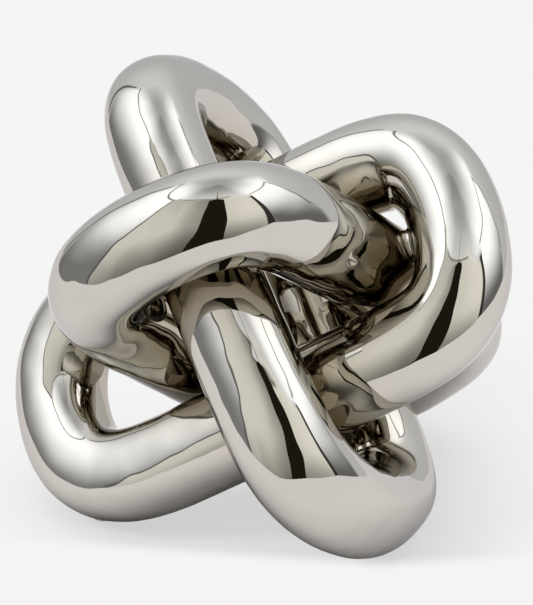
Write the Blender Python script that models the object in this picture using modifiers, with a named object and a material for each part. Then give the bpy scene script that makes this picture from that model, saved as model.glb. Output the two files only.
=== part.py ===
"""Ceramic chain sculpture: three elongated tubular links, each threaded through
the next, standing on three lobes.

Every link is a hollow slip casting made in two U-shaped halves that are closed
around the neighbouring links with a luting seam in the middle of each long
run.  Where two runs press against each other a little fillet of slip bonds
them.  Each link stands on a small felt dot and has a firing vent beside it.

Frame: metres, +Z up, Z = 0 on the table, origin under the middle of the
sculpture, -Y towards the front.
"""
import math

import bmesh
import bpy
from mathutils import Euler, Matrix, Vector

# --------------------------------------------------------------------------
# Driving dimensions, millimetres and degrees
# --------------------------------------------------------------------------
MM = 0.001
WALL = 4.5                    # casting wall of a link tube
SEAM = 1.4                    # thickness of a luting seam along the run
CLEAR = 0.3                   # clearance between neighbouring pieces
TUBE_SIDES = 16               # facets round a link tube
STEP_LENGTH = 18.0            # longest centreline step on a straight run
STEP_TURN = 16.0              # largest turn of the centreline per step

# Centreline of a link in its own plane, as odd harmonics of the angle:
# a long oval with flattened sides and full round lobes.
LONG_HARMONICS = (97.55, 1.59, -0.16)
SHORT_HARMONICS = (53.07, 9.19, 1.45)

# Each link: centre, attitude (its own +X points to the upper lobe), tube
# radius, length and width factors, and the slight distortion of a casting
# that was cut, threaded and closed by hand: egg moves both lobes the same
# way, taper makes one lobe wider, warp lifts the outline out of its plane.
LINKS = {
    "back_link": dict(centre=(4.61, 0.61, 97.34), turn=(-139.38, -42.56, 118.86),
                      radius=20.10, long=0.973, short=1.092,
                      egg=-0.37, taper=-0.73, warp=(0.29, -0.31)),
    "left_link": dict(centre=(10.97, 1.02, 90.10), turn=(40.15, -34.81, -129.82),
                      radius=20.25, long=1.004, short=0.992,
                      egg=-0.75, taper=-1.71, warp=(0.23, 0.13)),
    "right_link": dict(centre=(-0.30, -0.31, 89.07), turn=(-133.21, -31.01, -13.94),
                       radius=19.92, long=1.005, short=0.971,
                       egg=-3.93, taper=-0.43, warp=(1.24, -0.85)),
}

VENT_RADIUS = 2.6             # firing vent under each lower lobe
VENT_OFFSET = 15.0            # from the felt dot, along the tube

PAD_RADIUS = 5.0              # felt dot
PAD_BLANK = 1.7               # height of the felt before it is pressed to the tube

BOND_INNER = 4.5              # bead of slip round a touching point
BOND_OUTER = 8.5
BOND_BLANK = 6.0
BOND_CLEAR = 0.45
BOND_LIMIT = 1.4              # tubes closer than this are bonded

COLLECTION = "ceramic_chain_sculpture"

# --------------------------------------------------------------------------
# Clean start and collections
# --------------------------------------------------------------------------
for old in list(bpy.data.objects):
    bpy.data.objects.remove(old, do_unlink=True)

parts = bpy.data.collections.new(COLLECTION)
cutters = bpy.data.collections.new("cutters")
bpy.context.scene.collection.children.link(parts)
bpy.context.scene.collection.children.link(cutters)


def material(name, colour, roughness, metallic):
    mat = bpy.data.materials.new(name)
    mat.use_nodes = True
    shader = mat.node_tree.nodes["Principled BSDF"]
    shader.inputs["Base Color"].default_value = (*colour, 1.0)
    shader.inputs["Roughness"].default_value = roughness
    shader.inputs["Metallic"].default_value = metallic
    return mat


PLATED = (0.64, 0.62, 0.59)
SLIP = (0.60, 0.57, 0.53)
FELT = (0.35, 0.34, 0.33)


# --------------------------------------------------------------------------
# Link geometry
# --------------------------------------------------------------------------
def outline(link, theta):
    """Centreline point (mm) in the link's own frame at angle theta."""
    a1, a3, a5 = LONG_HARMONICS
    b1, b3, b5 = SHORT_HARMONICS
    u = a1 * math.cos(theta) + a3 * math.cos(3 * theta) + a5 * math.cos(5 * theta)
    v = b1 * math.sin(theta) + b3 * math.sin(3 * theta) + b5 * math.sin(5 * theta)
    both, odd = math.cos(2 * theta), math.sin(2 * theta)
    return Vector((link["long"] * u + link["egg"] * both,
                   link["short"] * v + link["taper"] * odd,
                   link["warp"][0] * both + link["warp"][1] * odd))


def placement(link):
    """Matrix (mm) from the link's own plane to the sculpture's frame."""
    turn = Euler([math.radians(a) for a in link["turn"]], "XYZ")
    return Matrix.Translation(link["centre"]) @ turn.to_matrix().to_4x4()


def even_angles(link, first, last):
    """Angles from first to last, closer together where the tube bends more."""
    count = 600
    fine = [first + (last - first) * i / count for i in range(count + 1)]
    pts = [outline(link, t) for t in fine]
    weight = [0.0]
    for i in range(1, count + 1):
        run = pts[i] - pts[i - 1]
        turn = 0.0
        if i < count:
            turn = math.degrees(run.angle(pts[i + 1] - pts[i]))
        weight.append(weight[-1] + run.length / STEP_LENGTH + turn / STEP_TURN)
    steps = max(4, round(weight[-1]))
    out, j = [], 0
    for k in range(steps + 1):
        want = weight[-1] * k / steps
        while j < count and weight[j + 1] < want:
            j += 1
        out.append(fine[min(j + 1, count)] if k else fine[0])
    return out


def half_route(link, side):
    """Centreline points of one U-shaped half; side +1 holds the upper lobe."""
    middle = 0.0 if side > 0 else math.pi
    reach = math.pi / 2 - 0.11
    route = [outline(link, middle + t) for t in even_angles(link, -reach, reach)]
    for end, where in ((-side, 0), (side, len(route) + 2)):
        seat, along = seam_seat(link, end)
        along *= side if along.x > 0 else -side
        lip = [seat + along * (SEAM / 2 + CLEAR), seat + along * (SEAM / 2 + CLEAR + 1.5)]
        route[where:where] = lip if where == 0 else lip[::-1]
    return route


def seam_seat(link, end):
    """Middle of a long run and the direction of the tube there."""
    theta = end * math.pi / 2
    ahead = outline(link, theta + 0.01) - outline(link, theta - 0.01)
    return outline(link, theta), ahead.normalized()


def tube_mesh(name, route, radius, sides, capped):
    """Round tube along a route, from a bevelled curve, welded into one mesh."""
    curve = bpy.data.curves.new(name + "_curve", "CURVE")
    curve.dimensions = "3D"
    curve.bevel_depth = radius * MM
    curve.bevel_resolution = sides // 2 - 2
    curve.use_fill_caps = capped
    spline = curve.splines.new("POLY")
    spline.points.add(len(route) - 1)
    for point, co in zip(spline.points, route):
        point.co = (co.x * MM, co.y * MM, co.z * MM, 1.0)
    holder = bpy.data.objects.new(name + "_curve", curve)
    bpy.context.scene.collection.objects.link(holder)
    bpy.context.view_layer.update()
    graph = bpy.context.evaluated_depsgraph_get()
    mesh = bpy.data.meshes.new_from_object(holder.evaluated_get(graph))
    mesh.name = name
    bpy.data.objects.remove(holder, do_unlink=True)
    bpy.data.curves.remove(curve)
    bm = bmesh.new()
    bm.from_mesh(mesh)
    bmesh.ops.remove_doubles(bm, verts=bm.verts, dist=0.00001)
    bmesh.ops.recalc_face_normals(bm, faces=bm.faces)
    bm.to_mesh(mesh)
    bm.free()
    mesh.shade_smooth()
    mesh.set_sharp_from_angle(angle=math.radians(35))
    return mesh


def add_part(name, mesh, mat, parent=None, matrix=None):
    obj = bpy.data.objects.new(name, mesh)
    mesh.materials.clear()
    mesh.materials.append(mat)
    parts.objects.link(obj)
    if parent is not None:
        obj.parent = parent
    if matrix is not None:
        obj.matrix_world = matrix
    return obj


def add_cutter(name, mesh, matrix=None):
    obj = bpy.data.objects.new(name, mesh)
    cutters.objects.link(obj)
    obj.hide_render = True
    obj.display_type = "WIRE"
    if matrix is not None:
        obj.matrix_world = matrix
    return obj


def cut(obj, cutter):
    mod = obj.modifiers.new("cut_" + cutter.name, "BOOLEAN")
    mod.operation = "DIFFERENCE"
    mod.solver = "EXACT"
    mod.object = cutter


def disc_mesh(name, radius, height, sides):
    """Closed disc on its own Z axis, centred on the origin."""
    mesh = bpy.data.meshes.new(name)
    bm = bmesh.new()
    bmesh.ops.create_cone(bm, cap_ends=True, segments=sides, radius1=radius * MM,
                          radius2=radius * MM, depth=height * MM)
    bm.to_mesh(mesh)
    bm.free()
    return mesh


def in_metres(matrix):
    scaled = matrix.copy()
    scaled.translation = matrix.translation * MM
    return scaled


def run_section(link, theta, reach, extra, name):
    """Solid piece of a link tube about one angle, grown by a clearance."""
    route = [outline(link, theta + reach * (i / 7.0 - 1.0)) for i in range(15)]
    mesh = tube_mesh(name, route, link["radius"] + extra, 48, True)
    return add_cutter(name, mesh, in_metres(placement(link)))


def lowest_angle(link):
    """Angle of the lowest point of the centreline, on the lower lobe."""
    place = placement(link)
    angles = [math.pi / 2 + math.pi * i / 2000 for i in range(2001)]
    return min(angles, key=lambda t: (place @ outline(link, t)).z)


def contacts(first, second):
    """Places where two links come within the bonding limit of each other."""
    pa, pb = placement(first), placement(second)
    count = 120
    ring_a = [pa @ outline(first, 2 * math.pi * i / count) for i in range(count)]
    ring_b = [pb @ outline(second, 2 * math.pi * i / count) for i in range(count)]
    gap = [[(p - q).length for q in ring_b] for p in ring_a]
    limit = first["radius"] + second["radius"] + BOND_LIMIT
    found = []
    for i in range(count):
        for j in range(count):
            near = [gap[(i + m) % count][(j + n) % count] for m in (-1, 0, 1) for n in (-1, 0, 1)]
            if gap[i][j] > limit or gap[i][j] > min(near):
                continue
            ta, tb, step = 2 * math.pi * i / count, 2 * math.pi * j / count, 0.02
            while step > 1e-6:
                moves = [(ta + m * step, tb + n * step) for m in (-1, 0, 1) for n in (-1, 0, 1)]
                best = min(moves, key=lambda t: ((pa @ outline(first, t[0])) - (pb @ outline(second, t[1]))).length)
                if best == (ta, tb):
                    step *= 0.5
                ta, tb = best
            found.append((ta, tb, pa @ outline(first, ta), pb @ outline(second, tb)))
    return found


def ring_profile(name, inner, outer, height):
    """Square profile of a ring, run down its outer side first."""
    mesh = bpy.data.meshes.new(name)
    bm = bmesh.new()
    top, bottom = height / 2 * MM, -height / 2 * MM
    loop = [bm.verts.new(p) for p in ((outer * MM, 0, top), (outer * MM, 0, bottom),
                                      (inner * MM, 0, bottom), (inner * MM, 0, top))]
    for i in range(4):
        bm.edges.new((loop[i], loop[(i + 1) % 4]))
    bm.to_mesh(mesh)
    bm.free()
    return mesh


def turn_ring(obj, sides):
    turn = obj.modifiers.new("turn", "SCREW")
    turn.axis = "Z"
    turn.steps = turn.render_steps = sides
    turn.use_merge_vertices = True
    turn.merge_threshold = 0.00001
    turn.use_smooth_shade = False


# --------------------------------------------------------------------------
# Links: two hollow halves and two luting seams each
# --------------------------------------------------------------------------
for link_name, link in LINKS.items():
    frame = bpy.data.objects.new(link_name + "_frame", None)
    parts.objects.link(frame)
    frame.location = Vector(link["centre"]) * MM
    frame.rotation_euler = [math.radians(a) for a in link["turn"]]

    for half, side in (("upper", 1), ("lower", -1)):
        name = f"{link_name}_{half}_half"
        mesh = tube_mesh(name, half_route(link, side), link["radius"], TUBE_SIDES, False)
        shell = add_part(name, mesh, material(name + "_plated", PLATED, 0.06, 1.0), frame)
        wall = shell.modifiers.new("casting_wall", "SOLIDIFY")
        wall.thickness = WALL * MM
        wall.offset = -1.0
        wall.use_even_offset = True
        wall.use_rim = True
        link[half] = shell

    for seam, end in (("left", 1), ("right", -1)):
        name = f"{link_name}_{seam}_seam"
        seat, along = seam_seat(link, end)
        ring = add_part(name, ring_profile(name, link["radius"] - WALL, link["radius"], SEAM),
                        material(name + "_slip", SLIP, 0.15, 0.6), frame)
        ring.location = seat * MM
        ring.rotation_mode = "QUATERNION"
        ring.rotation_quaternion = along.to_track_quat("Z", "Y")
        turn_ring(ring, TUBE_SIDES)

bpy.context.view_layer.update()

# --------------------------------------------------------------------------
# Felt dot and firing vent under each lower lobe
# --------------------------------------------------------------------------
for link_name, link in LINKS.items():
    place = placement(link)
    theta = lowest_angle(link)
    centre = place @ outline(link, theta)
    along = (place @ outline(link, theta + 0.01)) - centre
    along.z = 0.0
    along.normalize()
    if along.y < 0:
        along = -along

    name = link_name + "_felt_dot"
    felt = add_part(name, disc_mesh(name, PAD_RADIUS, PAD_BLANK, 20),
                    material(name + "_felt", FELT, 0.95, 0.0),
                    matrix=Matrix.Translation(Vector((centre.x, centre.y, PAD_BLANK / 2)) * MM))
    cut(felt, run_section(link, theta, 0.35, CLEAR, link_name + "_lobe_cutter"))

    drill = add_cutter(link_name + "_vent_cutter", disc_mesh(link_name + "_vent_cutter", VENT_RADIUS, 24.0, 14),
                       Matrix.Translation((centre + along * VENT_OFFSET
                                           - Vector((0, 0, link["radius"]))) * MM))
    cut(link["lower"], drill)

# --------------------------------------------------------------------------
# Slip bonds where two runs touch
# --------------------------------------------------------------------------
names = list(LINKS)
for i, first_name in enumerate(names):
    second_name = names[(i + 1) % 3]
    first, second = LINKS[first_name], LINKS[second_name]
    for number, (ta, tb, pa, pb) in enumerate(contacts(first, second), 1):
        normal = (pb - pa).normalized()
        spare = (pb - pa).length - first["radius"] - second["radius"]
        middle = pa + normal * (first["radius"] + spare / 2)
        name = f"slip_bond_{first_name.split('_')[0]}_{second_name.split('_')[0]}_{number}"
        matrix = Matrix.Translation(middle * MM) @ normal.to_track_quat("Z", "Y").to_matrix().to_4x4()
        bond = add_part(name, ring_profile(name, BOND_INNER, BOND_OUTER, BOND_BLANK),
                        material(name + "_slip", SLIP, 0.2, 0.6), matrix=matrix)
        turn_ring(bond, 24)
        cut(bond, run_section(first, ta, 0.25, BOND_CLEAR, name + "_first_cutter"))
        cut(bond, run_section(second, tb, 0.25, BOND_CLEAR, name + "_second_cutter"))

bpy.context.view_layer.update()
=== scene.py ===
import math

import bmesh
import bpy
import numpy as np
from mathutils import Euler, Matrix, Vector, noise
from mathutils.bvhtree import BVHTree


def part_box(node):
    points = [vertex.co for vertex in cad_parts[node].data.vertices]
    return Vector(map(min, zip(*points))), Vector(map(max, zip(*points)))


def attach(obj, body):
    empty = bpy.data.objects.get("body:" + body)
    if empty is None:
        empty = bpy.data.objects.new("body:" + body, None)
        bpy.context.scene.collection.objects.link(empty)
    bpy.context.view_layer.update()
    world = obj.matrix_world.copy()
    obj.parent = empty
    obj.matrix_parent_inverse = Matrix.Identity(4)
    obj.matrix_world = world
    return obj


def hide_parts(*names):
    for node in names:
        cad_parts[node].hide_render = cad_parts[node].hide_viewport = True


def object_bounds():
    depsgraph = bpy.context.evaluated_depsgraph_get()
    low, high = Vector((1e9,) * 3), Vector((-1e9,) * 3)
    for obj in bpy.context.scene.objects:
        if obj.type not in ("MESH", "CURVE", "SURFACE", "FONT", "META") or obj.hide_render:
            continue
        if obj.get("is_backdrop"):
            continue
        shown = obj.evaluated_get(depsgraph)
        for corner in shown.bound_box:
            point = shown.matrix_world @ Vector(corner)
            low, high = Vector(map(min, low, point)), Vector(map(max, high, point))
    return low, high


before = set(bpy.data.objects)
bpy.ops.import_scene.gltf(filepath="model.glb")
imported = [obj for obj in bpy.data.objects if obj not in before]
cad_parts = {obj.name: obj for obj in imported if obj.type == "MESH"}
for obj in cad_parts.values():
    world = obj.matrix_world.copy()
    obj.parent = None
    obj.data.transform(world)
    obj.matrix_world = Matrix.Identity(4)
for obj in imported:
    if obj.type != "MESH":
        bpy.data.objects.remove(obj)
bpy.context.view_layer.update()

MM = 0.001

# --------------------------------------------------------------------------
# The links' centrelines: long ovals with flattened sides and full lobes
# --------------------------------------------------------------------------
LONG_HARMONICS = (97.55, 1.59, -0.16)
SHORT_HARMONICS = (53.07, 9.19, 1.45)
LINKS = {
    "back_link": dict(centre=(4.61, 0.61, 97.34), turn=(-139.38, -42.56, 118.86),
                      radius=20.10, long=0.973, short=1.092,
                      egg=-0.37, taper=-0.73, warp=(0.29, -0.31),
                      uneven=((0.0116, -0.0181, -0.0079, 0.0091, 0.0018),
                              (-0.0049, 0.0113, 0.0047, 0.0006, 0.0072),
                              (-0.0025, 0.0074, -0.0007, -0.0062, 0.0023),
                              (0.0060, -0.0163, -0.0062, 0.0051, -0.0054),
                              (0.0021, -0.0048, -0.0007, 0.0013, 0.0006),
                              (-0.0014, 0.0090, 0.0019, -0.0074, 0.0055))),
    "left_link": dict(centre=(10.97, 1.02, 90.10), turn=(40.15, -34.81, -129.82),
                      radius=20.25, long=1.004, short=0.992,
                      egg=-0.75, taper=-1.71, warp=(0.23, 0.13),
                      uneven=()),
    "right_link": dict(centre=(-0.30, -0.31, 89.07), turn=(-133.21, -31.01, -13.94),
                       radius=19.92, long=1.005, short=0.971,
                       egg=-3.93, taper=-0.43, warp=(1.24, -0.85),
                       uneven=((0.0015, 0.0042, -0.0039, 0.0018, -0.0026),
                               (-0.0005, -0.0029, 0.0007, -0.0092, 0.0036),
                               (-0.0014, -0.0066, 0.0080, -0.0016, -0.0055),
                               (0.0017, 0.0020, -0.0028, 0.0081, -0.0032),
                               (0.0008, 0.0104, -0.0052, -0.0020, 0.0073),
                               (0.0019, 0.0079, 0.0000, 0.0109, 0.0020))),
}
RINGS = 380                   # sections along a link
SIDES = 88                    # points round a section
WAVES = ((0.24, 19.0, 0.0), (0.12, 9.0, 41.0))   # glaze swell: height, length, offset

VENT_RADIUS = 2.6
VENT_OFFSET = 15.0
VENT_DEPTH = 9.0
PAD_RADIUS = 5.0
BOND_INNER = 4.5
BOND_OUTER = 8.4
BOND_LIMIT = 1.4


def outline(link, theta):
    """Centreline points (mm) in the link's own plane."""
    u = sum(a * np.cos((2 * k + 1) * theta) for k, a in enumerate(LONG_HARMONICS))
    v = sum(b * np.sin((2 * k + 1) * theta) for k, b in enumerate(SHORT_HARMONICS))
    both, odd = np.cos(2 * theta), np.sin(2 * theta)
    return np.stack([link["long"] * u + link["egg"] * both,
                     link["short"] * v + link["taper"] * odd,
                     link["warp"][0] * both + link["warp"][1] * odd], -1)


def attitude(link):
    turn = Euler([math.radians(a) for a in link["turn"]], "XYZ")
    return np.array(turn.to_matrix())


def centreline(link, theta):
    """Centreline points (mm) in the sculpture's frame."""
    return outline(link, np.asarray(theta, float)) @ attitude(link).T + np.array(link["centre"])


def even_thetas(link, count):
    """Angles that divide the centreline into steps of equal length."""
    fine = np.linspace(0.0, 2 * math.pi, 6001)
    pts = outline(link, fine)
    run = np.concatenate([[0.0], np.cumsum(np.linalg.norm(np.diff(pts, axis=0), axis=1))])
    return np.interp(np.arange(count) * run[-1] / count, run, fine)


def new_object(name, mesh):
    obj = bpy.data.objects.new(name, mesh)
    bpy.context.scene.collection.objects.link(obj)
    return obj


# --------------------------------------------------------------------------
# Node helpers
# --------------------------------------------------------------------------
class Graph:
    """Small helper to write node arithmetic as plain calls."""

    def __init__(self, tree):
        self.tree = tree
        tree.nodes.clear()

    def node(self, kind, **settings):
        made = self.tree.nodes.new(kind)
        for key, value in settings.items():
            setattr(made, key, value)
        return made

    def feed(self, socket, value):
        if isinstance(value, bpy.types.NodeSocket):
            self.tree.links.new(value, socket)
        elif isinstance(value, (tuple, list)) and len(value) == 3 and socket.type == "RGBA":
            socket.default_value = (*value, 1.0)
        else:
            socket.default_value = value

    def math(self, operation, *values):
        made = self.node("ShaderNodeMath", operation=operation)
        for socket, value in zip(made.inputs, values):
            self.feed(socket, value)
        return made.outputs[0]

    def add(self, a, b):
        return self.math("ADD", a, b)

    def sub(self, a, b):
        return self.math("SUBTRACT", a, b)

    def mul(self, a, b):
        return self.math("MULTIPLY", a, b)

    def smooth(self, value, low, high, out_low=0.0, out_high=1.0):
        made = self.node("ShaderNodeMapRange", interpolation_type="SMOOTHSTEP")
        for name, item in (("Value", value), ("From Min", low), ("From Max", high),
                           ("To Min", out_low), ("To Max", out_high)):
            self.feed(made.inputs[name], item)
        return made.outputs[0]

    def band(self, value, low, high, soft):
        """1 between low and high, with soft edges."""
        return self.mul(self.smooth(value, low - soft, low + soft),
                        self.smooth(value, high - soft, high + soft, 1.0, 0.0))

    def mix(self, factor, a, b):
        made = self.node("ShaderNodeMix", data_type="RGBA")
        self.feed(made.inputs[0], factor)
        self.feed(made.inputs[6], a)
        self.feed(made.inputs[7], b)
        return made.outputs[2]

    def tint(self, colour, value):
        """A fixed colour times a varying value."""
        made = self.node("ShaderNodeVectorMath", operation="SCALE")
        made.inputs[0].default_value = colour
        self.feed(made.inputs["Scale"], value)
        return made.outputs[0]


def material(name):
    mat = bpy.data.materials.new(name)
    mat.use_nodes = True
    g = Graph(mat.node_tree)
    shader = g.node("ShaderNodeBsdfPrincipled")
    g.tree.links.new(shader.outputs[0], g.node("ShaderNodeOutputMaterial").inputs["Surface"])
    where = g.node("ShaderNodeTexCoord").outputs["Object"]
    return mat, g, shader, where


def noise_of(g, where, scale, detail, roughness=0.5):
    made = g.node("ShaderNodeTexNoise")
    g.feed(made.inputs["Vector"], where)
    made.inputs["Scale"].default_value = scale
    made.inputs["Detail"].default_value = detail
    made.inputs["Roughness"].default_value = roughness
    return made.outputs[0]


def bump(g, shader, height, strength, distance):
    made = g.node("ShaderNodeBump")
    made.inputs["Strength"].default_value = strength
    made.inputs["Distance"].default_value = distance
    g.feed(made.inputs["Height"], height)
    g.tree.links.new(made.outputs[0], shader.inputs["Normal"])


def plated_material(name, dull, painted_recess_shade):
    """Warm nickel-coloured lustre fired over a glaze: a mirror with faint cloudiness, a few pinhole specks
    and a very fine orange-peel skin. When asked, painted shade darkens its colour where the links wall each other
    in."""
    mat, g, shader, where = material(name)
    cloud = noise_of(g, where, 26.0, 4.0)
    speck_cell = g.node("ShaderNodeTexVoronoi")
    g.feed(speck_cell.inputs["Vector"], where)
    speck_cell.inputs["Scale"].default_value = 95.0
    speck = g.smooth(speck_cell.outputs["Distance"], 0.018, 0.032, 1.0, 0.0)
    rare = g.smooth(noise_of(g, where, 60.0, 1.0), 0.60, 0.66)
    speck = g.mul(speck, rare)
    tone = g.mix(g.smooth(cloud, 0.3, 0.7), (0.515, 0.492, 0.437), (0.490, 0.468, 0.415))
    if painted_recess_shade:
        # painted shade: the lustre's colour is darkened where the links wall each other in, following the openness
        # attribute
        tone = g.mix(g.smooth(g.node("ShaderNodeAttribute", attribute_name="openness").outputs["Fac"], 0.30, 0.95),
                     (0.385, 0.345, 0.272), tone)
    g.feed(shader.inputs["Base Color"], g.mix(speck, tone, (0.20, 0.18, 0.16)))
    rough = g.smooth(noise_of(g, where, 55.0, 5.0), 0.35, 0.75, dull, dull * 2.4)
    g.feed(shader.inputs["Roughness"], g.add(rough, g.mul(speck, 0.3)))
    shader.inputs["Metallic"].default_value = 1.0
    shader.inputs["Specular Tint"].default_value = (0.72, 0.72, 0.72, 1.0)
    bump(g, shader, noise_of(g, where, 700.0, 2.0), 0.05, 0.00002)
    return mat


def bisque_material(name):
    """Unglazed wall of a firing vent, coloured near black as painted shade because the hollow behind it is unlit.
    """
    mat, g, shader, where = material(name)
    grain = noise_of(g, where, 1400.0, 5.0, 0.65)
    g.feed(shader.inputs["Base Color"], g.mix(grain, (0.034, 0.030, 0.026), (0.085, 0.077, 0.067)))
    g.feed(shader.inputs["Roughness"], g.smooth(grain, 0.2, 0.8, 0.7, 0.95))
    bump(g, shader, grain, 0.4, 0.0001)
    return mat


def felt_material(name):
    """Pressed grey wool felt: matted fibres, flecks and a soft sheen."""
    mat, g, shader, where = material(name)
    stretch = g.node("ShaderNodeMapping")
    g.feed(stretch.inputs["Vector"], where)
    stretch.inputs["Scale"].default_value = (1.0, 3.4, 1.6)
    stretch.inputs["Rotation"].default_value = (0.2, 0.4, 0.7)
    fibre = noise_of(g, stretch.outputs[0], 900.0, 6.0, 0.7)
    fleck = noise_of(g, where, 420.0, 2.0)
    tone = g.mix(fibre, (0.16, 0.155, 0.15), (0.47, 0.46, 0.445))
    g.feed(shader.inputs["Base Color"],
           g.mix(g.smooth(fleck, 0.58, 0.72, 0.0, 0.6), tone, (0.62, 0.60, 0.57)))
    g.feed(shader.inputs["Roughness"], g.smooth(fibre, 0.2, 0.8, 0.85, 1.0))
    shader.inputs["Sheen Weight"].default_value = 0.35
    shader.inputs["Sheen Roughness"].default_value = 0.6
    bump(g, shader, fibre, 0.8, 0.0003)
    return mat


PLATED = plated_material("plated_glaze", 0.010, True)
LUTED = plated_material("plated_luting_slip", 0.045, False)
BISQUE = bisque_material("bisque")
FELT = felt_material("felt")


# --------------------------------------------------------------------------
# Links
# --------------------------------------------------------------------------
def swell(points):
    """Height (mm) of the glaze's slight unevenness at each point."""
    out = np.zeros(len(points))
    for height, length, offset in WAVES:
        shift = Vector((offset, 0.37 * offset, -0.61 * offset))
        out += height * np.array([noise.noise((Vector(p) + shift) / length) for p in points])
    return out


def out_of_round(link, thetas, turn):
    """Share of the radius by which the hand-finished tube is out of round, for
    each section and side: slow waves along the link times two, three and four
    lobes round the section."""
    along = np.stack([np.ones_like(thetas), np.cos(thetas), np.sin(thetas), np.cos(2 * thetas), np.sin(2 * thetas)])
    around = [wave(k * turn) for k in (2, 3, 4) for wave in (np.cos, np.sin)]
    share = np.zeros((len(thetas), len(turn)))
    for row, wave in zip(link["uneven"], around):
        share += np.outer(np.dot(row, along), wave)
    return share


def link_mesh(name, link):
    thetas = even_thetas(link, RINGS)
    line = centreline(link, thetas)
    ahead = np.roll(line, -1, 0) - np.roll(line, 1, 0)
    ahead /= np.linalg.norm(ahead, axis=1)[:, None]
    across = np.tile(attitude(link)[:, 2], (RINGS, 1))
    across -= ahead * (across * ahead).sum(1)[:, None]
    across /= np.linalg.norm(across, axis=1)[:, None]
    third = np.cross(ahead, across)
    turn = 2 * math.pi * np.arange(SIDES) / SIDES
    out = (across[:, None] * np.cos(turn)[None, :, None]
           + third[:, None] * np.sin(turn)[None, :, None]).reshape(-1, 3)
    base = np.repeat(line, SIDES, 0)
    skin = base + out * link["radius"] * (1 + out_of_round(link, thetas, turn).reshape(-1, 1))
    skin += out * swell(skin)[:, None]
    ring, side = np.meshgrid(np.arange(RINGS), np.arange(SIDES), indexing="ij")
    nxt_r, nxt_s = (ring + 1) % RINGS, (side + 1) % SIDES
    quads = np.stack([ring * SIDES + side, ring * SIDES + nxt_s,
                      nxt_r * SIDES + nxt_s, nxt_r * SIDES + side], -1).reshape(-1, 4)
    mesh = bpy.data.meshes.new(name)
    mesh.from_pydata((skin * MM).tolist(), [], quads.tolist())
    bm = bmesh.new()
    bm.from_mesh(mesh)
    bmesh.ops.recalc_face_normals(bm, faces=bm.faces)
    bm.to_mesh(mesh)
    bm.free()
    mesh.shade_smooth()
    mesh.materials.append(PLATED)
    return mesh


def lowest(link):
    """Lowest point of the centreline and the level direction of the tube there."""
    thetas = np.linspace(0.0, 2 * math.pi, 4001)
    line = centreline(link, thetas)
    low = int(line[:, 2].argmin())
    along = line[(low + 3) % 4000] - line[(low - 3) % 4000]
    along[2] = 0.0
    along /= np.linalg.norm(along)
    return Vector(line[low]), Vector(along if along[1] > 0 else -along)


def vent_cutter(name, foot):
    """Blind hole with a rounded mouth, to be cut up into a lobe."""
    bm = bmesh.new()
    sides, lip = 40, 0.5
    profile = [(VENT_RADIUS + lip, -2.0)]
    for k in range(6):
        a = k / 5 * math.pi / 2
        profile.append((VENT_RADIUS + lip * (1 - math.sin(a)), 0.05 + lip * (1 - math.cos(a))))
    profile += [(VENT_RADIUS, VENT_DEPTH - 1.0), (VENT_RADIUS * 0.7, VENT_DEPTH)]
    rings = []
    for radius, height in profile:
        rings.append([bm.verts.new((foot + Vector((radius * math.cos(t), radius * math.sin(t), height))) * MM)
                      for t in (2 * math.pi * i / sides for i in range(sides))])
    for low, high in zip(rings, rings[1:]):
        for i in range(sides):
            bm.faces.new((low[i], low[(i + 1) % sides], high[(i + 1) % sides], high[i]))
    bm.faces.new(rings[0][::-1])
    bm.faces.new(rings[-1])
    bmesh.ops.recalc_face_normals(bm, faces=bm.faces)
    mesh = bpy.data.meshes.new(name)
    bm.to_mesh(mesh)
    bm.free()
    mesh.materials.append(BISQUE)
    return new_object(name, mesh)


def coarse_skin(link, rings, sides):
    """Points, outward normals and quads of a light version of a link."""
    line = centreline(link, even_thetas(link, rings))
    ahead = np.roll(line, -1, 0) - np.roll(line, 1, 0)
    ahead /= np.linalg.norm(ahead, axis=1)[:, None]
    across = np.tile(attitude(link)[:, 2], (rings, 1))
    across -= ahead * (across * ahead).sum(1)[:, None]
    across /= np.linalg.norm(across, axis=1)[:, None]
    third = np.cross(ahead, across)
    turn = 2 * math.pi * np.arange(sides) / sides
    out = (across[:, None] * np.cos(turn)[None, :, None] + third[:, None] * np.sin(turn)[None, :, None])
    skin = line[:, None] + out * link["radius"]
    ring, side = np.meshgrid(np.arange(rings), np.arange(sides), indexing="ij")
    nxt_r, nxt_s = (ring + 1) % rings, (side + 1) % sides
    quads = np.stack([ring * sides + side, ring * sides + nxt_s,
                      nxt_r * sides + nxt_s, nxt_r * sides + side], -1).reshape(-1, 4)
    return skin.reshape(-1, 3), out.reshape(-1, 3), quads


def openness():
    """For each link, how open to its surroundings the skin is, on a light grid
    of RINGS / 4 by SIDES / 4 points: 1 in the open, 0 walled in."""
    rings, sides, reach, rays = RINGS // 4, SIDES // 4, 75.0, 36
    shells = {name: coarse_skin(link, rings, sides) for name, link in LINKS.items()}
    points, faces = [], []
    for skin, _, quads in shells.values():
        faces += (quads + sum(len(p) for p in points)).tolist()
        points.append(skin)
    tree = BVHTree.FromPolygons(np.concatenate(points).tolist(), faces)
    step = np.arange(rays) + 0.5
    rise, spin = np.sqrt(1 - step / rays), step * math.pi * (3 - math.sqrt(5))
    flat = np.sqrt(step / rays)
    fan = np.stack([flat * np.cos(spin), flat * np.sin(spin), rise], -1)
    result = {}
    for name, (skin, out, _) in shells.items():
        open_part = np.zeros(len(skin))
        for k, (point, normal) in enumerate(zip(skin, out)):
            side = np.cross(normal, (0.31, 0.53, 0.79))
            side /= np.linalg.norm(side)
            ways = fan[:, :1] * side + fan[:, 1:2] * np.cross(normal, side) + fan[:, 2:] * normal
            start = Vector(point + normal * 0.4)
            free = 0.0
            for way in ways:
                hit = tree.ray_cast(start, Vector(way), reach)[3]
                free += 1.0 if hit is None else (hit / reach) ** 2
            open_part[k] = free / rays
        result[name] = open_part.reshape(rings, sides)
    return result


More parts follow.
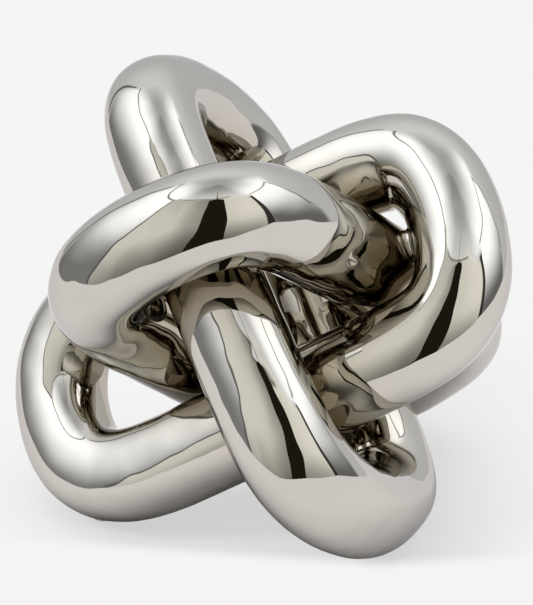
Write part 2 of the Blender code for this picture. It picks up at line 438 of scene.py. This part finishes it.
def spread(grid, fine):
    """Values of a ring-by-side grid on one that is four times finer both ways."""
    for axis, count in ((0, fine[0]), (1, fine[1])):
        place = np.arange(count) * grid.shape[axis] / count
        low = np.floor(place).astype(int)
        part = (place - low).reshape([-1 if axis == a else 1 for a in (0, 1)])
        high = (low + 1) % grid.shape[axis]
        grid = np.take(grid, low, axis) * (1 - part) + np.take(grid, high, axis) * part
    return grid


skins = {}
OPENNESS = openness()
for name, link in LINKS.items():
    mesh = link_mesh(name, link)
    # the openness attribute carries the painted recess shade of the plating
    shade = mesh.attributes.new("openness", "FLOAT", "POINT")
    shade.data.foreach_set("value", spread(OPENNESS[name], (RINGS, SIDES)).ravel().astype(np.float32))
    skins[name] = BVHTree.FromPolygons([v.co.copy() for v in mesh.vertices],
                                       [p.vertices[:] for p in mesh.polygons])
    obj = new_object(name, mesh)

    centre, along = lowest(link)
    spot = centre + along * VENT_OFFSET
    up, _, _, _ = skins[name].ray_cast(Vector((spot.x, spot.y, -10.0)) * MM, Vector((0, 0, 1)))
    cutter = vent_cutter(name + "_vent", up / MM)
    vent = obj.modifiers.new("vent", "BOOLEAN")
    vent.operation = "DIFFERENCE"
    vent.solver = "EXACT"
    vent.material_mode = "TRANSFER"
    vent.object = cutter
    bpy.context.view_layer.update()
    cut = bpy.data.meshes.new_from_object(obj.evaluated_get(bpy.context.evaluated_depsgraph_get()))
    obj.modifiers.clear()
    obj.data = cut
    cut.name = name
    bpy.data.objects.remove(cutter, do_unlink=True)
    cut.shade_smooth()
    cut.set_sharp_from_angle(angle=math.radians(50))

    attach(obj, "root")
    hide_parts(name + "_upper_half", name + "_lower_half",
                name + "_left_seam", name + "_right_seam")


# --------------------------------------------------------------------------
# Felt dots under the lower lobes
# --------------------------------------------------------------------------
def felt_mesh(name, link_name):
    centre, _ = lowest(LINKS[link_name])
    around, radial = 96, 12
    bm = bmesh.new()

    def roof(x, y):
        hit, _, _, _ = skins[link_name].ray_cast(Vector((x, y, -5.0)) * MM, Vector((0, 0, 1)))
        return hit.z / MM

    def fuzz(x, y, z, amount):
        return amount * noise.noise(Vector((x * 2.3, y * 2.3, z * 3.1 + 7.0)))

    def ring(radius, height):
        out = []
        for i in range(around):
            a = 2 * math.pi * i / around
            edge = radius + (fuzz(radius * math.cos(a), radius * math.sin(a), 0.0, 0.16)
                             if radius > PAD_RADIUS * 0.9 else 0.0)
            x, y = centre.x + edge * math.cos(a), centre.y + edge * math.sin(a)
            top = min(roof(x, y) - 0.04, 1.66)
            if height < 1.0:
                z = height * top + max(0.0, fuzz(x, y, height, 0.06))
            else:
                z = top
            out.append(bm.verts.new(Vector((x, y, max(0.0, z))) * MM))
        return out

    rows = [ring(PAD_RADIUS * k / radial * 0.93, 0.0) for k in range(1, radial + 1)]
    rows += [ring(PAD_RADIUS * s, h) for s, h in ((0.955, 0.10), (0.965, 0.35), (0.965, 0.65), (0.955, 0.90))]
    rows += [ring(PAD_RADIUS * k / radial * 0.93, 1.0) for k in range(radial, 0, -1)]
    for low, high in zip(rows, rows[1:]):
        for i in range(around):
            j = (i + 1) % around
            bm.faces.new((low[i], low[j], high[j], high[i]))
    bm.faces.new(rows[0][::-1])
    bm.faces.new(rows[-1])
    bmesh.ops.recalc_face_normals(bm, faces=bm.faces)
    mesh = bpy.data.meshes.new(name)
    bm.to_mesh(mesh)
    bm.free()
    mesh.shade_smooth()
    mesh.materials.append(FELT)
    return mesh


for link_name in LINKS:
    dot = new_object(link_name + "_felt", felt_mesh(link_name + "_felt", link_name))
    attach(dot, "root")
    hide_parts(link_name + "_felt_dot")


# --------------------------------------------------------------------------
# Beads of slip where two links touch
# --------------------------------------------------------------------------
def contacts(first, second):
    """Middle (mm) and direction of each place where two links nearly touch."""
    count = 720
    thetas = 2 * math.pi * np.arange(count) / count
    ring_a, ring_b = centreline(first, thetas), centreline(second, thetas)
    gap = np.linalg.norm(ring_a[:, None] - ring_b[None], axis=2)
    least = np.ones_like(gap, bool)
    for m in (-2, -1, 0, 1, 2):
        for n in (-2, -1, 0, 1, 2):
            least &= gap <= np.roll(np.roll(gap, m, 0), n, 1)
    limit = first["radius"] + second["radius"] + BOND_LIMIT
    found = []
    for i, j in np.argwhere(least & (gap < limit)):
        pa, pb = Vector(ring_a[i]), Vector(ring_b[j])
        normal = (pb - pa).normalized()
        spare = (pb - pa).length - first["radius"] - second["radius"]
        found.append((pa + normal * (first["radius"] + spare / 2), normal))
    return found


def bead_mesh(name, middle, normal, first_name, second_name):
    """Ring of slip squeezed between two tubes, with a hollow outer face."""
    around, rise = 72, 10
    side = normal.orthogonal().normalized()
    other = normal.cross(side)
    bm = bmesh.new()
    columns = []
    for i in range(around):
        a = 2 * math.pi * i / around
        out = side * math.cos(a) + other * math.sin(a)
        reach = BOND_OUTER + 0.25 * noise.noise(Vector((3 * math.cos(a), 3 * math.sin(a), middle.x)))

        def faces(radius):
            start = middle + out * radius
            low, _, _, down = skins[first_name].ray_cast(start * MM, -normal)
            high, _, _, up = skins[second_name].ray_cast(start * MM, normal)
            return start, -down / MM - 0.05, up / MM + 0.05

        start, low, high = faces(reach)
        column = []
        for k in range(rise + 1):
            t = k / rise
            inward = 0.30 * (high - low) * (1 - (2 * t - 1) ** 2)
            column.append(start - out * inward + normal * (low + (high - low) * t))
        start, low, high = faces(BOND_INNER)
        column += [start + normal * (high - 0.03), start + normal * (low + 0.03)]
        columns.append([bm.verts.new(p * MM) for p in column])
    for one, two in zip(columns, columns[1:] + columns[:1]):
        for k in range(len(one)):
            j = (k + 1) % len(one)
            bm.faces.new((one[k], one[j], two[j], two[k]))
    bmesh.ops.recalc_face_normals(bm, faces=bm.faces)
    mesh = bpy.data.meshes.new(name)
    bm.to_mesh(mesh)
    bm.free()
    mesh.shade_smooth()
    mesh.set_sharp_from_angle(angle=math.radians(60))
    mesh.materials.append(LUTED)
    return mesh


bond_nodes = {}
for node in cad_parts:
    if node.startswith("slip_bond"):
        low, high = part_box(node)
        bond_nodes[node] = (low + high) / 2 / MM
link_names = list(LINKS)
for i, first_name in enumerate(link_names):
    second_name = link_names[(i + 1) % 3]
    for middle, normal in contacts(LINKS[first_name], LINKS[second_name]):
        node = min(bond_nodes, key=lambda n: (bond_nodes[n] - middle).length)
        bead = new_object(node + "_bead", bead_mesh(node + "_bead", middle, normal, first_name, second_name))
        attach(bead, "root")
        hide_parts(node)
        del bond_nodes[node]

# --------------------------------------------------------------------------
# Stage: pale table with a near front edge
# --------------------------------------------------------------------------
corners = [(-490, -95), (-347, -180), (-200, -232), (-73, -275), (72, -370), (211, -430), (733, -680), (1100, -860),
           (2400, -860), (2400, 2600), (-2400, 2600), (-1500, 1400), (-800, 450), (-625, 110)]


def table(name):
    """Pale table top that shows only its upper side."""
    mesh = bpy.data.meshes.new(name)
    mesh.from_pydata([(x * MM, y * MM, 0.0) for x, y in corners], [], [list(range(len(corners)))])
    obj = new_object(name, mesh)
    mat, g, shader, where = material(name)
    shader.inputs["Roughness"].default_value = 1.0
    shader.inputs["Specular IOR Level"].default_value = 0.0
    sides = g.node("ShaderNodeMixShader")
    g.feed(sides.inputs[0], g.node("ShaderNodeNewGeometry").outputs["Backfacing"])
    g.tree.links.new(shader.outputs[0], sides.inputs[1])
    g.tree.links.new(g.node("ShaderNodeBsdfTransparent").outputs[0], sides.inputs[2])
    out = next(n for n in g.tree.nodes if n.type == "OUTPUT_MATERIAL")
    g.tree.links.new(sides.outputs[0], out.inputs["Surface"])
    mesh.materials.append(mat)
    obj.visible_shadow = False
    obj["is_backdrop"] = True
    return obj, g, shader, where


# the table as it is seen directly: bright paper glowing evenly, with a light shadow that is partly painted shade in
# its glow and partly cast by the key lamp
floor, g, shader, where = table("table")
grain = noise_of(g, where, 6.0, 3.0)
place = g.node("ShaderNodeSeparateXYZ")
g.feed(place.inputs[0], where)
px, py = g.mul(place.outputs["X"], 1000.0), g.mul(place.outputs["Y"], 1000.0)
# painted shadow outline: the shadow lies behind a line just in front of the lobes and thins out to the right; in
# front of the line the glow makes up for the missing lamp light
line = g.math("MAXIMUM", g.sub(-40.5, g.mul(px, 0.166)), g.add(-53.5, g.mul(px, 0.10)))
shaded = g.mul(g.smooth(g.sub(py, line), -9.0, 4.0), g.smooth(px, 72, 140, 1.0, 0.40))
g.feed(shader.inputs["Base Color"], g.mix(shaded, (0.0, 0.0, 0.0),
                                          g.mix(grain, (0.0470, 0.0473, 0.0470), (0.0478, 0.0481, 0.0478))))
# painted shade: the table's glow is dimmed by ambient occlusion where the sculpture covers it
cover = g.node("ShaderNodeAmbientOcclusion", samples=16)
cover.inputs["Distance"].default_value = 0.10
painted_contact_shade = g.smooth(cover.outputs["AO"], 0.08, 0.95, 0.765, 1.0)
g.feed(shader.inputs["Emission Color"], g.mix(shaded, (0.905, 0.914, 0.897), g.tint((0.782, 0.791, 0.775), painted_contact_shade)))
shader.inputs["Emission Strength"].default_value = 1.0
floor.visible_glossy = False

# the same table top in the sculpture's reflections: an even glow, with painted shade that dims it only where it is
# covered
mirrored, g, shader, where = table("table_reflected")
shader.inputs["Base Color"].default_value = (0.0, 0.0, 0.0, 1.0)
cover = g.node("ShaderNodeAmbientOcclusion", samples=8)
cover.inputs["Distance"].default_value = 0.16
tone = g.mix(g.smooth(noise_of(g, where, 6.0, 3.0), 0.3, 0.7), (1.190, 1.168, 1.225), (1.210, 1.188, 1.245))
open_sky = g.smooth(cover.outputs["AO"], 0.08, 0.93, 0.03, 1.0)
g.feed(shader.inputs["Emission Color"], g.mix(open_sky, (0.03, 0.027, 0.022), tone))
shader.inputs["Emission Strength"].default_value = 1.0
mirrored.visible_camera = False
mirrored.visible_diffuse = False


# dark gap between the front panels, seen only in reflections
mesh = bpy.data.meshes.new("dark_gap")
shape = [(-48, -600), (118, -600), (118, 850), (36, 900), (31, 1750), (27, 1750), (22, 900), (-48, 850)]
mesh.from_pydata([(x * MM, -540 * MM, z * MM) for x, z in shape], [], [list(range(len(shape)))])
gap = new_object("dark_gap", mesh)
mat = bpy.data.materials.new("dark_gap")
mat.use_nodes = True
g = Graph(mat.node_tree)
dark = g.node("ShaderNodeEmission")
dark.inputs["Color"].default_value = (0.0215, 0.0175, 0.0120, 1.0)
g.tree.links.new(dark.outputs[0], g.node("ShaderNodeOutputMaterial").inputs["Surface"])
mesh.materials.append(mat)
gap.visible_camera = False
gap.visible_diffuse = False
gap.visible_shadow = False
gap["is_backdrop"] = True

# the front panels are duller beside the gap and lower down
mesh = bpy.data.meshes.new("panel_veil")
mesh.from_pydata([(x * MM, -545 * MM, z * MM) for x, z in ((-640, -600), (640, -600), (640, 900), (-640, 900))],
                 [], [[0, 1, 2, 3]])
veil = new_object("panel_veil", mesh)
mat = bpy.data.materials.new("panel_veil")
mat.use_nodes = True
g = Graph(mat.node_tree)
place = g.node("ShaderNodeSeparateXYZ")
g.feed(place.inputs[0], g.node("ShaderNodeTexCoord").outputs["Object"])
px, pz = g.mul(place.outputs["X"], 1000.0), g.mul(place.outputs["Z"], 1000.0)
beside = g.math("MAXIMUM", g.smooth(px, -270, -40, 1.0, 0.60), g.smooth(px, 60, 116))
ends = g.mul(g.smooth(px, -630, -430), g.smooth(px, 430, 630, 1.0, 0.0))
lower = g.sub(1.0, g.mul(ends, g.smooth(pz, 0, 300, 0.20, 0.0)))
thin = g.node("ShaderNodeBsdfTransparent")
g.feed(thin.inputs["Color"], g.tint((1.0, 0.995, 0.98), g.mul(beside, lower)))
g.tree.links.new(thin.outputs[0], g.node("ShaderNodeOutputMaterial").inputs["Surface"])
mesh.materials.append(mat)
veil.visible_camera = False
veil.visible_diffuse = False
veil.visible_shadow = False
veil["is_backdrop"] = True

# a small card keeps the left softbox off the inner flank of the right lobe
mesh = bpy.data.meshes.new("card")
shape = [(-94.5, 172.5), (-94, 229), (-97, 237), (-109, 242.5), (-134.5, 218), (-133.5, 192), (-132.5, 187),
         (-124.5, 165), (-121, 163.5)]
mesh.from_pydata([(-60 * MM, y * MM, z * MM) for y, z in shape], [], [list(range(len(shape)))])
card = new_object("card", mesh)
mat = bpy.data.materials.new("card")
mat.use_nodes = True
g = Graph(mat.node_tree)
place = g.node("ShaderNodeSeparateXYZ")
g.feed(place.inputs[0], g.node("ShaderNodeTexCoord").outputs["Object"])
paper = g.node("ShaderNodeEmission")
g.feed(paper.inputs["Color"], g.tint((1.262, 1.256, 1.205), g.smooth(g.mul(place.outputs["Z"], 1000.0), 178, 240, 0.88, 0.71)))
sides = g.node("ShaderNodeMixShader")
g.feed(sides.inputs[0], g.node("ShaderNodeNewGeometry").outputs["Backfacing"])
g.tree.links.new(paper.outputs[0], sides.inputs[1])
g.tree.links.new(g.node("ShaderNodeBsdfTransparent").outputs[0], sides.inputs[2])
g.tree.links.new(sides.outputs[0], g.node("ShaderNodeOutputMaterial").inputs["Surface"])
mesh.materials.append(mat)
card.visible_camera = False
card.visible_diffuse = False
card.visible_shadow = False
card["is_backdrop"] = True

# --------------------------------------------------------------------------
# Soft studio round the sculpture, by direction: azimuth 0 is the front,
# +90 the right hand side
# --------------------------------------------------------------------------
world = bpy.data.worlds.new("studio")
bpy.context.scene.world = world
world.use_nodes = True
g = Graph(world.node_tree)
direction = g.node("ShaderNodeTexCoord").outputs["Generated"]
split = g.node("ShaderNodeSeparateXYZ")
g.tree.links.new(direction, split.inputs[0])
dx, dy, dz = split.outputs
az = g.mul(g.math("ARCTAN2", dx, g.mul(dy, -1.0)), 180 / math.pi)
el = g.mul(g.math("ARCSINE", dz), 180 / math.pi)

WARM = (1.262, 1.262, 1.230)
NEUTRAL = (1.262, 1.300, 1.385)

# smooth light grey all round, dimmer at the zenith and low in front
aside = g.math("ABSOLUTE", az)
overhead = g.smooth(el, 58, 84, 1.0, 0.0)
behind = g.mul(g.smooth(el, 22, 62, 0.70, 0.92), 1.0)
ceiling = g.smooth(aside, 15, 75, 0.40, 0.56)
light = g.tint(NEUTRAL, g.add(g.mul(behind, overhead), g.mul(ceiling, g.sub(1.0, overhead))))

# left softbox: a broad glow that is strongest half way up, in a thin dark frame
right_edge = g.add(g.add(az, 61), g.add(g.mul(g.math("MAXIMUM", g.sub(28, el), 0.0), 0.12),
                                       g.mul(g.math("MAXIMUM", g.sub(el, 40), 0.0), 0.30)))
glow = g.mul(g.smooth(el, -4, 51, 0.27, 1.70), g.smooth(el, 60, 88, 1.0, 0.33))
glow = g.mul(glow, g.mul(g.smooth(az, -136, -104, 0.86, 1.0), g.smooth(az, -74, -56, 1.0, 0.86)))
inside = g.mul(g.smooth(az, -138, -128), g.smooth(right_edge, -0.8, 0.8, 1.0, 0.0))
above = g.mul(g.smooth(az, -150, -110), g.smooth(az, -70, -24, 1.0, 0.0))
inside = g.math("MAXIMUM", g.mul(inside, g.smooth(el, 58, 62, 1.0, 0.0)), g.mul(above, g.smooth(el, 57, 59)))
light = g.mix(inside, light, g.tint(NEUTRAL, glow))
frame_lines = g.mul(g.band(g.add(az, g.mul(el, -0.06)), -140.5, -137.8, 0.8), g.band(el, -8, 50, 2))
frame_lines = g.math("MAXIMUM", frame_lines, g.mul(g.band(el, 56.6, 58.2, 0.6), g.band(az, -138, -58, 2)))
frame_lines = g.math("MAXIMUM", frame_lines, g.mul(g.band(right_edge, -1.0, 1.6, 0.6), g.band(el, -45, 57, 1)))
light = g.mix(g.mul(frame_lines, 0.86), light, (0.10, 0.10, 0.09))

# warm front panels either side of the dark gap
front_left = g.mul(g.mul(g.smooth(right_edge, 1.2, 2.4), g.smooth(az, 4, 6, 1.0, 0.0)),
                   g.smooth(el, 57.5, 59, 1.0, 0.0))
fall = g.mul(g.smooth(el, -46, 18, 0.32, 1.0), g.smooth(el, 30, 64, 1.0, 0.76))
light = g.mix(front_left, light, g.tint(WARM, g.mul(g.smooth(az, -48, 2, 0.92, 0.76), fall)))
top_right = g.sub(63, g.mul(g.math("MAXIMUM", g.sub(az, 28), 0.0), 0.75))
front_right = g.mul(g.mul(g.smooth(az, 4, 6), g.smooth(az, 55, 57, 1.0, 0.0)),
                    g.smooth(g.sub(top_right, el), -1.0, 1.0))
light = g.mix(front_right, light, g.tint(WARM, g.mul(g.smooth(az, 8, 40, 0.86, 1.0), g.smooth(el, -35, 26, 0.28, 1.06))))

# right softbox with its dark left border and thin frame
edge_right = g.sub(az, g.mul(el, 0.22))
box_right = g.mul(g.mul(g.smooth(az, 56.4, 58.2), g.smooth(edge_right, 98, 107, 1.0, 0.0)), g.smooth(el, 52, 60, 1.0, 0.0))
over = g.mul(g.mul(g.smooth(az, 30, 66), g.smooth(az, 110, 150, 1.0, 0.0)), g.smooth(el, 48, 56))
shine = g.mul(g.smooth(el, 2, 50, 0.18, 1.66), g.smooth(el, 56, 86, 1.0, 0.34))
light = g.mix(g.math("MAXIMUM", box_right, over), light, g.tint(NEUTRAL, shine))
wedge = g.smooth(el, -5, 46, 0.0, 2.0)
border = g.mul(g.smooth(g.sub(az, wedge), 49.4, 50.8), g.smooth(az, 56.4, 57.8, 1.0, 0.0))
light = g.mix(g.mul(g.mul(border, g.band(el, -40, 50, 1.5)), 0.97), light, (0.026, 0.024, 0.020))
frame_lines = g.mul(g.band(edge_right, 101.5, 103.8, 0.8), g.band(el, 16, 55, 1.5))
frame_lines = g.math("MAXIMUM", frame_lines, g.mul(g.band(el, 53.2, 54.6, 0.6), g.band(az, 57, 114, 1)))
light = g.mix(g.mul(frame_lines, 0.72), light, (0.14, 0.13, 0.12))

# dim strip along the top of the front panels
strip = g.mul(g.band(el, 58.0, 59.6, 0.7), g.band(az, -56, 26, 2))
light = g.mix(g.mul(strip, 0.7), light, (0.06, 0.055, 0.045))

lit = g.node("ShaderNodeBackground")
g.feed(lit.inputs["Color"], light)
plain = g.node("ShaderNodeBackground")
plain.inputs["Color"].default_value = (0.905, 0.914, 0.897, 1.0)
choose = g.node("ShaderNodeMixShader")
g.feed(choose.inputs[0], g.node("ShaderNodeLightPath").outputs["Is Camera Ray"])
g.tree.links.new(lit.outputs[0], choose.inputs[1])
g.tree.links.new(plain.outputs[0], choose.inputs[2])
g.tree.links.new(choose.outputs[0], g.node("ShaderNodeOutputWorld").inputs["Surface"])

# soft key from the left, unseen by glossy rays, so it lights the table and the matte parts but not the mirror
# finish
key = bpy.data.lights.new("key", "SUN")
key.energy = 7.0
key.angle = math.radians(15)
sun = bpy.data.objects.new("key", key)
bpy.context.scene.collection.objects.link(sun)
toward = Vector((math.sin(math.radians(-62)) * math.cos(math.radians(42)),
                 -math.cos(math.radians(-62)) * math.cos(math.radians(42)), math.sin(math.radians(42))))
sun.rotation_euler = toward.to_track_quat("Z", "Y").to_euler()
sun.visible_glossy = False

# --------------------------------------------------------------------------
# Camera and colour
# --------------------------------------------------------------------------
lens = bpy.data.cameras.new("camera")
lens.sensor_fit = "AUTO"
lens.sensor_width = 36.0
lens.lens = 123.552
lens.clip_start, lens.clip_end = 0.01, 50.0
eye = bpy.data.objects.new("camera", lens)
bpy.context.scene.collection.objects.link(eye)
eye.location = (0.00322, -0.79865, 0.42537)
eye.rotation_euler = [math.radians(a) for a in (67.5911, 0.7206, -0.2971)]
scene = bpy.context.scene
scene.camera = eye
scene.view_settings.view_transform = "Standard"
scene.view_settings.look = "None"
scene.view_settings.exposure = 0.0
scene.view_settings.gamma = 1.0
scene.cycles.caustics_reflective = False
scene.cycles.caustics_refractive = False
scene.cycles.max_bounces = 14
scene.cycles.glossy_bounces = 6
scene.cycles.denoising_input_passes = "RGB"

# --------------------------------------------------------------------------
# Boxes of the CAD and of the visual model
# --------------------------------------------------------------------------
bpy.context.view_layer.update()
low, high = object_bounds()
